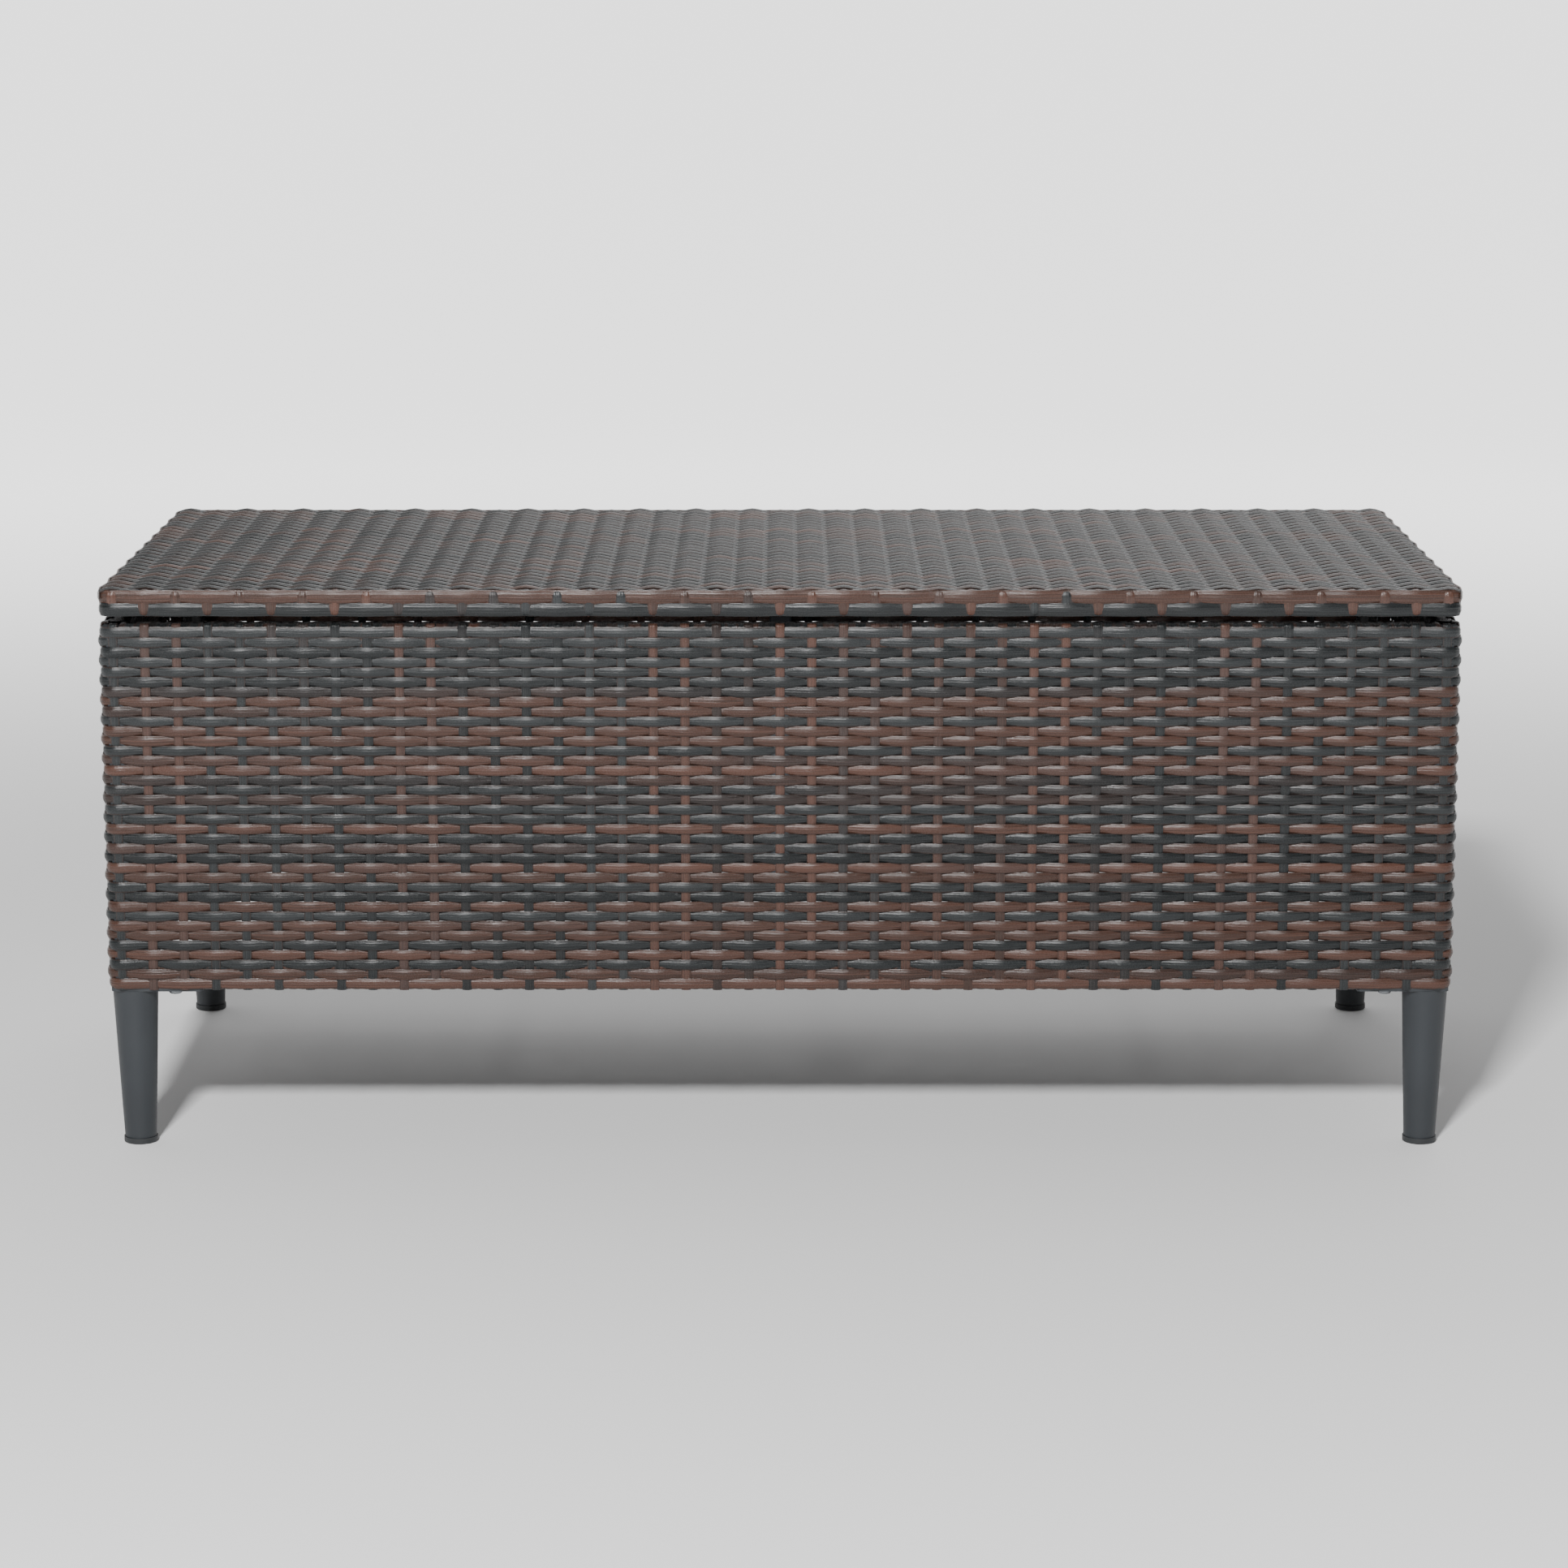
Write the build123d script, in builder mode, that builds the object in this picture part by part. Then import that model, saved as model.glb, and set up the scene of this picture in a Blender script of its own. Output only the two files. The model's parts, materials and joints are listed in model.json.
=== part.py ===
"""Woven garden storage coffee table on four tapered legs, with a lift-up lid on two gas struts.

Millimetres. +X is along the length to the right, +Y is towards the back, where the hinges are,
and +Z is up. The origin is on the floor under the centre of the table.
"""

from build123d import *
from math import asin, cos, degrees, hypot, radians, sin
import os

# Overall sizes
length = 1100.0             # outside of the weave, left to right
depth = 500.0               # outside of the weave, front to back
underside = 134.0           # floor to the bottom of the box frame
body_height = 298.0         # box frame, bottom of the lower rails to top of the upper rails
corner_r = 9.0              # upright corners of both frames, seen from above

# Woven skin
weave = 3.0                 # thickness of a woven panel

# Box frame, square steel tube
tube = 20.0
tube_wall = 1.2
tube_corner = 2.5
cross_bar_offset = 270.0    # side cross bars, from the middle

# Lid frame, square steel tube
lid_tube = 18.0

# Wire floor of the storage box
wire_r = 2.0
wire_pitch = 50.0
wire_end = 7.0              # how far the wires stop short of the rails' outer faces
wire_weld = 0.4             # how far crossing wires sink into each other

# Legs, plates and feet
plate_side = 75.0
plate_t = 3.0
plate_band = 28.0           # width of the plate along each of its two outer edges
plate_corner = 4.0
plate_inset = 3.5           # outer edge of the plate, in from the weave
leg_inset = 21.0            # centre of the leg's top, in from the weave
leg_top_r = 18.5
leg_bottom_r = 13.0
leg_wall = 1.6
leg_lean = 1.0              # how far each leg's foot stands inwards of its top, in X and in Y
foot_height = 5.0
foot_lip = 0.9
foot_chamfer = 1.0
spigot_height = 14.0
spigot_clearance = 0.15

# Leg bolts and nuts
bolt_r = 3.0
bolt_clearance = 0.3
bolt_head_r = 5.5
bolt_head_h = 3.5
bolt_head_round = 2.0
bolt_along = 55.0           # bolt centre, in from the corner of the weave
bolt_spare = 2.0            # bolt end, past its nut
nut_flat = 10.0
nut_h = 5.0

# Hinges
hinge_x = 360.0             # middle of each hinge, from the middle of the table
hinge_length = 60.0
leaf_t = 1.5
leaf_reach = 22.0           # width of a leaf on its rail, forwards of the hinge pin
knuckle_r = 3.0
pin_r = 1.5
pin_clearance = 0.05
knuckle_gap = 0.4
knuckle_play = 0.5          # knuckles to the other leaf
knuckles = 5
rivet_r = 1.6
rivet_clearance = 0.1
rivet_head_r = 3.2
rivet_head_h = 1.2
rivet_spacing = 40.0
rivet_back = 12.0           # rivet centre, forwards of the hinge pin
rivet_tail = 3.0            # how far a rivet reaches past the tube's wall

# Box frame to lid frame, before the strands that wrap them both: room for the hinges
lid_gap = 2 * (knuckle_r + knuckle_play + leaf_t)

# Gas struts
lid_opening = 80.0          # degrees
strut_arm = 200.0           # hinge pin to each end of a strut
strut_drop = 14.0           # upper end of a strut, below the hinge pin
strut_spread = 68.0         # degrees between the two arms with the lid shut
bracket_t = 2.5
bracket_gap = 7.0           # side of the box frame's tube to the ear of a bracket
flange_half = 18.0
flange_width = 22.0
ear_r = 8.0
stud_r = 4.0
stud_head_r = 5.5
stud_head_t = 1.5
running = 0.05              # radial clearance of each turning or sliding fit
side_play = 0.5
eye_r = 7.5
eye_t = 10.0
neck_r = 4.4
cylinder_r = 9.0
cylinder_wall = 1.5
cylinder_start = 13.0       # from the lower eye
cylinder_cap = 6.0
cylinder_short = 14.0       # cylinder's end to the upper eye, with the lid shut
guide_length = 12.0
rod_r = 4.0
piston_length = 8.0
piston_clearance = 0.1
rod_end_gap = 4.0           # rod's end to the cylinder's bottom, with the lid shut

# Bumpers
bumper_r = 6.0
bumper_play = 0.2
bumper_y = 150.0
bumper_round = 1.5

# Places that follow from the sizes
half_x = length / 2 - weave                     # outer faces of the frame
half_y = depth / 2 - weave
rail_x = half_x - tube / 2                      # centre lines of the rails
rail_y = half_y - tube / 2
inner_x = half_x - tube
inner_y = half_y - tube
low_z = underside + tube / 2
top_z = underside + body_height - tube / 2
rim_z = underside + body_height
floor_z = underside + tube
lid_low = rim_z + lid_gap
lid_mid = lid_low + lid_tube / 2
lid_top = lid_low + lid_tube
lid_rail_x = half_x - lid_tube / 2
lid_rail_y = half_y - lid_tube / 2
plate_low = underside - plate_t
pin_y = depth / 2 - knuckle_r
pin_z = rim_z + lid_gap / 2
ear_x = inner_x - bracket_gap                   # inner face of each strut bracket's ear
strut_x = ear_x - side_play - eye_t / 2
drop_angle = degrees(asin(strut_drop / strut_arm))
low_angle = drop_angle + strut_spread
upper_eye = (pin_y - strut_arm * cos(radians(drop_angle)), pin_z - strut_drop)
lower_eye = (pin_y - strut_arm * cos(radians(low_angle)), pin_z - strut_arm * sin(radians(low_angle)))
shut_length = hypot(upper_eye[0] - lower_eye[0], upper_eye[1] - lower_eye[1])
strut_run = (0, (upper_eye[0] - lower_eye[0]) / shut_length, (upper_eye[1] - lower_eye[1]) / shut_length)
cylinder_end = shut_length - cylinder_short
rod_length = shut_length - cylinder_start - cylinder_cap - rod_end_gap

sides = {"left": -1, "right": 1}
ends = {"front": -1, "back": 1}


def save(piece, name):
    """Label a finished piece and write it to its own file."""
    piece.part.label = name
    export_step(piece.part, f"parts/{name}.step")


def square_tube(start, direction, reach, size, holes=(), hole_r=rivet_r, hole_z=0.0):
    """Square tube that runs from start along direction, with round holes in one level wall.

    What reaches a corner of the frame is rounded off there, as seen from above.
    """
    across = (0, 0, 1) if direction[2] == 0 else (1, 0, 0)
    with BuildPart() as piece:
        with BuildSketch(Plane(origin=start, x_dir=across, z_dir=direction)):
            RectangleRounded(size, size, tube_corner)
            inside = size - 2 * tube_wall
            RectangleRounded(inside, inside, tube_corner - tube_wall, mode=Mode.SUBTRACT)
        extrude(amount=reach)
        for hole_x, hole_y in holes:
            with BuildSketch(Plane.XY.offset(hole_z)):
                with Locations((hole_x, hole_y)):
                    Circle(hole_r)
            extrude(amount=tube_wall, both=True, mode=Mode.SUBTRACT)
        with BuildSketch(Plane.XY):
            RectangleRounded(2 * half_x, 2 * half_y, corner_r)
        extrude(amount=lid_top, mode=Mode.INTERSECT)
    return piece


def rail_pair(low, name_stem, line_x, line_y, size, z, holes, hole_r):
    """Four rails of one level: the front and back run through, the sides fit between them."""
    through = line_x + size / 2
    between = line_y - size / 2
    for end, sign in ends.items():
        drilled = [hole for hole in holes if abs(hole[1] - sign * line_y) < size / 2]
        piece = square_tube((-through, sign * line_y, z), (1, 0, 0), 2 * through, size, drilled, hole_r, low)
        save(piece, f"{name_stem}_{end}")
    for side, sign in sides.items():
        drilled = [hole for hole in holes if abs(hole[0] - sign * line_x) < size / 2 and abs(hole[1]) < between]
        piece = square_tube((sign * line_x, -between, z), (0, 1, 0), 2 * between, size, drilled, hole_r, low)
        save(piece, f"{name_stem}_{side}")


def leg_bolt_places():
    """Two bolts for each leg plate, on the centre lines of the two rails that meet there."""
    along_x = length / 2 - bolt_along
    along_y = depth / 2 - bolt_along
    spots = []
    for sx in sides.values():
        for sy in ends.values():
            spots.append((sx * along_x, sy * rail_y))
            spots.append((sx * rail_x, sy * along_y))
    return spots


def rivet_places():
    """Two rivets through each hinge leaf into its rail."""
    spots = []
    for side in sides.values():
        for step in (-1, 1):
            spots.append((side * hinge_x + step * rivet_spacing / 2, pin_y - rivet_back))
    return spots


def box_frame():
    """Rails, corner posts, middle uprights and floor cross bars."""
    rail_pair(underside, "rail_bottom", rail_x, rail_y, tube, low_z, leg_bolt_places(), bolt_r + bolt_clearance)
    rail_pair(rim_z, "rail_top", rail_x, rail_y, tube, top_z, rivet_places(), rivet_r + rivet_clearance)
    upright = body_height - 2 * tube
    for end, sy in ends.items():
        for side, sx in sides.items():
            post = square_tube((sx * rail_x, sy * rail_y, floor_z), (0, 0, 1), upright, tube)
            save(post, f"post_{end}_{side}")
        middle = square_tube((0, sy * rail_y, floor_z), (0, 0, 1), upright, tube)
        save(middle, f"upright_{end}")
    for place, x in (("left", -cross_bar_offset), ("middle", 0.0), ("right", cross_bar_offset)):
        bar = square_tube((x, -inner_y, low_z), (0, 1, 0), 2 * inner_y, tube)
        save(bar, f"cross_bar_{place}")


def floor_grid():
    """Welded wire floor: short wires lie on the rails and cross bars, long wires lie on them."""
    short_count = 2 * int((inner_x - wire_r) / wire_pitch)
    long_count = 2 * int((inner_y - wire_r) / wire_pitch) + 1
    short_z = floor_z + wire_r
    long_z = short_z + 2 * wire_r - wire_weld
    short_reach = half_y - wire_end
    long_reach = (short_count - 1) * wire_pitch / 2 + wire_end
    with BuildPart() as grid:
        with BuildSketch(Plane(origin=(0, -short_reach, short_z), x_dir=(1, 0, 0), z_dir=(0, 1, 0))):
            with GridLocations(wire_pitch, 1, short_count, 1):
                Circle(wire_r)
        extrude(amount=2 * short_reach)
        with BuildSketch(Plane(origin=(-long_reach, 0, long_z), x_dir=(0, 1, 0), z_dir=(1, 0, 0))):
            with GridLocations(wire_pitch, 1, long_count, 1):
                Circle(wire_r)
        extrude(amount=2 * long_reach)
    save(grid, "floor_grid")


def skin_outline():
    """Outline of the woven skin round the frame, seen from above."""
    with BuildSketch() as outline:
        RectangleRounded(length, depth, corner_r + weave)
        RectangleRounded(2 * half_x, 2 * half_y, corner_r, mode=Mode.SUBTRACT)
    return outline.sketch


def woven_panels():
    """Four upright panels; the front and the back turn the corners, the sides fit between them."""
    turn = corner_r + weave
    spans = {f"panel_{end}": ((0, sy * depth / 2), (length, 2 * turn)) for end, sy in ends.items()}
    for side, sx in sides.items():
        spans[f"panel_{side}"] = ((sx * length / 2, 0), (2 * turn, depth - 2 * turn))
    for name, (middle, span) in spans.items():
        outline = skin_outline()
        with BuildPart() as panel:
            with BuildSketch(Plane.XY.offset(underside)):
                add(outline)
                with Locations(middle):
                    Rectangle(*span, mode=Mode.INTERSECT)
            extrude(amount=body_height)
        save(panel, name)


def leg_plate(name, sx, sy):
    """Corner plate under two rails, with its inner corner cut off and two bolt holes."""
    corner_x = sx * (length / 2 - plate_inset)
    corner_y = sy * (depth / 2 - plate_inset)
    outline = [(0, 0), (plate_side, 0), (plate_side, plate_band), (plate_band, plate_side), (0, plate_side)]
    spots = [spot for spot in leg_bolt_places() if spot[0] * sx > 0 and spot[1] * sy > 0]
    with BuildPart() as plate:
        with BuildSketch(Plane.XY.offset(plate_low)) as flat:
            with BuildLine():
                Polyline([(corner_x - sx * x, corner_y - sy * y) for x, y in outline], close=True)
            make_face()
            fillet(flat.vertices(), plate_corner)
            with Locations(*spots):
                Circle(bolt_r + bolt_clearance, mode=Mode.SUBTRACT)
        extrude(amount=plate_t)
    save(plate, name)


def leg(name, sx, sy):
    """Tapered round tube, welded to its plate at the top and leaning slightly inwards."""
    top_x = sx * (length / 2 - leg_inset)
    top_y = sy * (depth / 2 - leg_inset)
    bottom_x = top_x - sx * leg_lean
    bottom_y = top_y - sy * leg_lean
    with BuildPart() as piece:
        for thinner, how in ((0.0, Mode.ADD), (leg_wall, Mode.SUBTRACT)):
            with BuildSketch(Plane.XY.offset(plate_low)):
                with Locations((top_x, top_y)):
                    Circle(leg_top_r - thinner)
            with BuildSketch(Plane.XY.offset(foot_height)):
                with Locations((bottom_x, bottom_y)):
                    Circle(leg_bottom_r - thinner)
            loft(mode=how)
    save(piece, name)


def foot(name, sx, sy):
    """Moulded glide with a spigot that plugs the end of the leg."""
    x = sx * (length / 2 - leg_inset - leg_lean)
    y = sy * (depth / 2 - leg_inset - leg_lean)
    with BuildPart() as glide:
        with BuildSketch(Plane.XY):
            with Locations((x, y)):
                Circle(leg_bottom_r + foot_lip)
        extrude(amount=foot_height)
        chamfer(glide.edges().group_by(Axis.Z)[0], foot_chamfer)
        with BuildSketch(Plane.XY.offset(foot_height)):
            with Locations((x, y)):
                Circle(leg_bottom_r - leg_wall - spigot_clearance)
        extrude(amount=spigot_height)
    save(glide, name)


def leg_sets():
    """A plate, a leg and a foot at each corner."""
    for end, sy in ends.items():
        for side, sx in sides.items():
            leg_plate(f"leg_plate_{end}_{side}", sx, sy)
            leg(f"leg_{end}_{side}", sx, sy)
            foot(f"foot_{end}_{side}", sx, sy)


def leg_fasteners():
    """Domed bolts up through the plates, and the nuts that hold them inside the rails."""
    spots = leg_bolt_places()
    nut_z = underside + tube_wall
    with BuildPart() as bolts:
        with BuildSketch(Plane.XY.offset(plate_low - bolt_head_h)):
            with Locations(*spots):
                Circle(bolt_head_r)
        extrude(amount=bolt_head_h)
        fillet(bolts.edges().group_by(Axis.Z)[0], bolt_head_round)
        with BuildSketch(Plane.XY.offset(plate_low)):
            with Locations(*spots):
                Circle(bolt_r)
        extrude(amount=nut_z - plate_low + nut_h + bolt_spare)
    save(bolts, "leg_bolts")
    with BuildPart() as nuts:
        with BuildSketch(Plane.XY.offset(nut_z)):
            with Locations(*spots):
                RegularPolygon(nut_flat / 2, 6, major_radius=False)
                Circle(bolt_r + running, mode=Mode.SUBTRACT)
        extrude(amount=nut_h)
    save(nuts, "leg_nuts")


def lid():
    """Lid frame, its three bars and the woven skin that covers its top and its outer sides."""
    rivets = rivet_places()
    rail_pair(lid_low, "lid_rail", lid_rail_x, lid_rail_y, lid_tube, lid_mid, rivets, rivet_r + rivet_clearance)
    reach = half_y - lid_tube
    for place, x in (("left", -cross_bar_offset), ("middle", 0.0), ("right", cross_bar_offset)):
        bar = square_tube((x, -reach, lid_mid), (0, 1, 0), 2 * reach, lid_tube)
        save(bar, f"lid_bar_{place}")
    with BuildPart() as skin:
        with BuildSketch(Plane.XY.offset(lid_low)):
            RectangleRounded(length, depth, corner_r + weave)
        extrude(amount=lid_tube + weave)
        with BuildSketch(Plane.XY.offset(lid_low)):
            RectangleRounded(2 * half_x, 2 * half_y, corner_r)
        extrude(amount=lid_tube, mode=Mode.SUBTRACT)
    save(skin, "lid_weave")


def hinge_leaf(name, x, up, turn):
    """Flat leaf on a rail with its share of the knuckles; up is +1 under the lid, -1 on the box."""
    leaf_face = pin_z + up * lid_gap / 2
    knuckle = hinge_length / knuckles
    low_x = x - hinge_length / 2
    spots = [spot for spot in rivet_places() if abs(spot[0] - x) < hinge_length / 2]
    with BuildPart() as leaf:
        with BuildSketch(Plane.XY.offset(leaf_face)):
            with Locations((x, pin_y - (leaf_reach - knuckle_r) / 2)):
                Rectangle(hinge_length, leaf_reach + knuckle_r)
            with Locations(*spots):
                Circle(rivet_r + rivet_clearance, mode=Mode.SUBTRACT)
        extrude(amount=-up * leaf_t)
        for place in range(turn, knuckles, 2):
            start = low_x + place * knuckle + knuckle_gap / 2
            side_plane = Plane(origin=(start, pin_y, pin_z), x_dir=(0, 1, 0), z_dir=(1, 0, 0))
            with BuildSketch(side_plane):
                Circle(knuckle_r)
                with Locations((knuckle_r - leaf_t / 2, up * lid_gap / 4)):
                    Rectangle(leaf_t, lid_gap / 2)
            extrude(amount=knuckle - knuckle_gap)
        with BuildSketch(Plane(origin=(low_x, pin_y, pin_z), x_dir=(0, 1, 0), z_dir=(1, 0, 0))):
            Circle(pin_r + pin_clearance)
        extrude(amount=hinge_length, mode=Mode.SUBTRACT)
    save(leaf, name)


def rivets(name, up):
    """Domed rivets whose tails end inside the tube."""
    face = pin_z + up * (lid_gap / 2 - leaf_t)
    with BuildPart() as group:
        with BuildSketch(Plane.XY.offset(face)):
            with Locations(*rivet_places()):
                Circle(rivet_head_r)
        extrude(amount=-up * rivet_head_h)
        outer = group.edges().group_by(Axis.Z)[0 if up > 0 else -1]
        chamfer(outer, rivet_head_h / 2)
        with BuildSketch(Plane.XY.offset(face)):
            with Locations(*rivet_places()):
                Circle(rivet_r)
        extrude(amount=up * (leaf_t + tube_wall + rivet_tail))
    save(group, name)


def hinges():
    """Two butt hinges on one line in the gap behind the lid."""
    for side, sx in sides.items():
        hinge_leaf(f"hinge_{side}_box_leaf", sx * hinge_x, -1, 0)
        hinge_leaf(f"hinge_{side}_lid_leaf", sx * hinge_x, 1, 1)
    with BuildPart() as pins:
        start = -hinge_x - hinge_length / 2
        for low_x in (start, start + 2 * hinge_x):
            with BuildSketch(Plane(origin=(low_x, pin_y, pin_z), x_dir=(0, 1, 0), z_dir=(1, 0, 0))):
                Circle(pin_r)
            extrude(amount=hinge_length)
    save(pins, "hinge_pins")
    rivets("hinge_rivets_box", -1)
    rivets("hinge_rivets_lid", 1)


def across_plane(sx, x, eye):
    """Plane through a point of the strut's side view that looks outwards to one side."""
    return Plane(origin=(sx * x, eye[0], eye[1]), x_dir=(0, sx, 0), z_dir=(sx, 0, 0))


def strut_plane(sx, eye, along, toward=1):
    """Plane square to the strut, a distance from one of its eyes towards the other."""
    origin = (sx * strut_x, eye[0] + toward * along * strut_run[1], eye[1] + toward * along * strut_run[2])
    return Plane(origin=origin, x_dir=(1, 0, 0), z_dir=tuple(toward * part for part in strut_run))


def strut_bracket(name, sx, eye, flange_plane, web_middle, web_size):
    """Flange on the frame, an ear beside the strut's eye, and a headed stud that carries the eye."""
    stud_length = eye_t + 2 * side_play
    with BuildPart() as bracket:
        with BuildSketch(flange_plane):
            Rectangle(flange_width, 2 * flange_half)
        extrude(amount=bracket_t)
        with BuildSketch(across_plane(sx, ear_x, eye)):
            Circle(ear_r)
            with Locations(web_middle):
                Rectangle(*web_size)
        extrude(amount=bracket_t)
        with BuildSketch(across_plane(sx, ear_x, eye)):
            Circle(stud_r)
        extrude(amount=-stud_length)
        with BuildSketch(across_plane(sx, ear_x - stud_length, eye)):
            Circle(stud_head_r)
        extrude(amount=-stud_head_t)
    save(bracket, name)


def strut_brackets(side, sx):
    """One bracket under the lid's side rail and one on the front of the box's back post."""
    middle_x = sx * (ear_x + flange_width / 2)
    drop = lid_low - upper_eye[1]
    under_lid = Plane(origin=(middle_x, upper_eye[0], lid_low), x_dir=(1, 0, 0), z_dir=(0, 0, -1))
    strut_bracket(f"strut_{side}_lid_bracket", sx, upper_eye, under_lid, (0, drop / 2), (2 * ear_r, drop))
    back = inner_y - lower_eye[0]
    on_post = Plane(origin=(middle_x, inner_y, lower_eye[1]), x_dir=(1, 0, 0), z_dir=(0, -1, 0))
    strut_bracket(f"strut_{side}_box_bracket", sx, lower_eye, on_post, (sx * back / 2, 0), (back, 2 * ear_r))


def round_piece(bars, bores):
    """One solid of round bars less round bores, each given as its plane, radius and reach."""
    with BuildPart() as piece:
        for how, group in ((Mode.ADD, bars), (Mode.SUBTRACT, bores)):
            for plane, radius, reach in group:
                with BuildSketch(plane):
                    Circle(radius)
                extrude(amount=reach, mode=how)
    return piece


def strut_cylinder(side, sx):
    """Lower half of a strut: an eye, a neck and the hollow cylinder with its guide."""
    eye_plane = across_plane(sx, strut_x - eye_t / 2, lower_eye)
    base_plane = strut_plane(sx, lower_eye, cylinder_start)
    bore_start = cylinder_start + cylinder_cap
    bore_plane = strut_plane(sx, lower_eye, bore_start)
    bars = [
        (eye_plane, eye_r, eye_t),
        (strut_plane(sx, lower_eye, 0), neck_r, cylinder_start),
        (base_plane, cylinder_r, cylinder_end - cylinder_start),
    ]
    bores = [
        (bore_plane, cylinder_r - cylinder_wall, cylinder_end - guide_length - bore_start),
        (bore_plane, rod_r + running, cylinder_end),
        (eye_plane, stud_r + running, eye_t),
    ]
    save(round_piece(bars, bores), f"strut_{side}_cylinder")


def strut_rod(side, sx):
    """Upper half of a strut: an eye, and the rod with its piston inside the cylinder."""
    eye_plane = across_plane(sx, strut_x - eye_t / 2, upper_eye)
    piston_plane = strut_plane(sx, upper_eye, rod_length - piston_length, -1)
    bars = [
        (eye_plane, eye_r, eye_t),
        (strut_plane(sx, upper_eye, 0, -1), rod_r, rod_length),
        (piston_plane, cylinder_r - cylinder_wall - piston_clearance, piston_length),
    ]
    bores = [(eye_plane, stud_r + running, eye_t)]
    save(round_piece(bars, bores), f"strut_{side}_rod")


def gas_struts():
    """A strut with its two brackets inside each end of the box."""
    for side, sx in sides.items():
        strut_brackets(side, sx)
        strut_cylinder(side, sx)
        strut_rod(side, sx)


def bumpers():
    """Four rubber bumpers on the side rails that the shut lid rests on."""
    spots = [(sx * rail_x, sy * bumper_y) for sx in sides.values() for sy in ends.values()]
    with BuildPart() as group:
        with BuildSketch(Plane.XY.offset(rim_z)):
            with Locations(*spots):
                Circle(bumper_r)
        extrude(amount=lid_gap - bumper_play)
        fillet(group.edges().group_by(Axis.Z)[-1], bumper_round)
    save(group, "bumpers")


os.makedirs("parts", exist_ok=True)
box_frame()
floor_grid()
woven_panels()
leg_sets()
leg_fasteners()
lid()
hinges()
gas_struts()
bumpers()

stroke_end = 2 * strut_arm * sin(radians((strut_spread + lid_opening) / 2))
print("table height", lid_top + weave)
print("hinge pin", pin_y, pin_z)
print("strut lower eye", strut_x, *lower_eye)
print("strut upper eye", strut_x, *upper_eye)
print("strut length shut and open", shut_length, stroke_end)
print("room left in the cylinder when open", cylinder_end - guide_length - piston_length - (stroke_end - rod_length))
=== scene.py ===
"""Woven garden storage table: the strands, their colours and the studio round the CAD frame."""
import json
import math
import bmesh
import bpy
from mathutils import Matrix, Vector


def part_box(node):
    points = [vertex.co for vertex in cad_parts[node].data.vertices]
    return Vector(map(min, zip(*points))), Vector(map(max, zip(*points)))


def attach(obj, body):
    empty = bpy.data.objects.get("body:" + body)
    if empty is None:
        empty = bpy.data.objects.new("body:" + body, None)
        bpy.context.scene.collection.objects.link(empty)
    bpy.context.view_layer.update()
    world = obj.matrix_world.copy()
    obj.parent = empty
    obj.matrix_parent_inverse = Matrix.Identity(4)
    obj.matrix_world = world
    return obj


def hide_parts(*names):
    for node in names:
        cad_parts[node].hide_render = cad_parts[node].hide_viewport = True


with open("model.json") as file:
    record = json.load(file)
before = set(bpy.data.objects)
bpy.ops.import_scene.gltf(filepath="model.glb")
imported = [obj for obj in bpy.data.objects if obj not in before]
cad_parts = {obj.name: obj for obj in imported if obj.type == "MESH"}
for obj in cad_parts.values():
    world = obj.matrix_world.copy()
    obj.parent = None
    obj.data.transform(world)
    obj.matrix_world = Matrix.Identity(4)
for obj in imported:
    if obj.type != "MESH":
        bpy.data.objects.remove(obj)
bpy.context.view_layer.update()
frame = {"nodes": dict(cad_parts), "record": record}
nodes = frame["nodes"]

# Places of the steel frame, in metres like every size here
rail_low, rail_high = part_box("rail_top_front")
half_x, half_y, rim = rail_high.x, -rail_low.y, rail_high.z
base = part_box("rail_bottom_front")[0].z
lid_low, lid_high = (corner.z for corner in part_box("lid_rail_front"))

# Counts of strands
rows = 37                   # rows of weft up the box
stakes = 124                # stakes round the box
lid_rows = 29               # rows from the middle of the lid to the upper row of its edge
lid_stakes = 21             # stakes on the lid to each side of the middle one
end_stakes = 9              # stakes down each end of the lid, to each side of the middle one

# Shape of a strand
strand_t = 0.0012
crown = 0.0012              # how far the edges of a strand curl back from its middle
texture_margin = 0.03       # edge of a strand to the edge of its strip of texture
weft_rings = 10             # steps in the mesh along one wave of weft
stake_rings = 6
stake_w = 0.0070            # stakes of the box
lid_stake_w = 0.0080
weft_fill = 0.99            # width of a weft in its row
edge_fill = 1.04            # width of the lowest and highest wefts of the box
lid_edge_fill = 0.98        # width of the wefts round the lid's edge
weft_swing = 0.0020         # how far a weft leaves the middle of the weave, each way
lid_swing = 0.0024          # the longer waves of the lid's wefts
stake_swing = 0.0003        # the stiffer stakes stay nearly straight
edge_swing = 0.0011         # wefts pulled tight round the edges
weld = 0.00004              # points closer than this are joined
crease = math.radians(40)   # folds sharper than this stay sharp

# Paths of the strands
skin = 0.0015               # frame to the middle of the weave
bend_r = 0.012 - skin       # upright corners of the box and the lid
fold_r = 0.0035             # fold of the lid's strands over its edges
corner_steps = 6            # straight runs round a corner
corner_lead = 0.0015        # straight run before and after a corner
tuck = 0.010                # how far the lid's strands turn in under its edges
trim = 0.0005               # tucked ends stop this far inside the ends of their path
weft_tail = 0.003           # how far the lid's wefts go down past the fold

# Steps in and up, as the top of a stake folds over the rim
stake_tops = ((0.0004, 0.0014), (0.0012, 0.0007), (0.0040, 0.0001))

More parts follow.
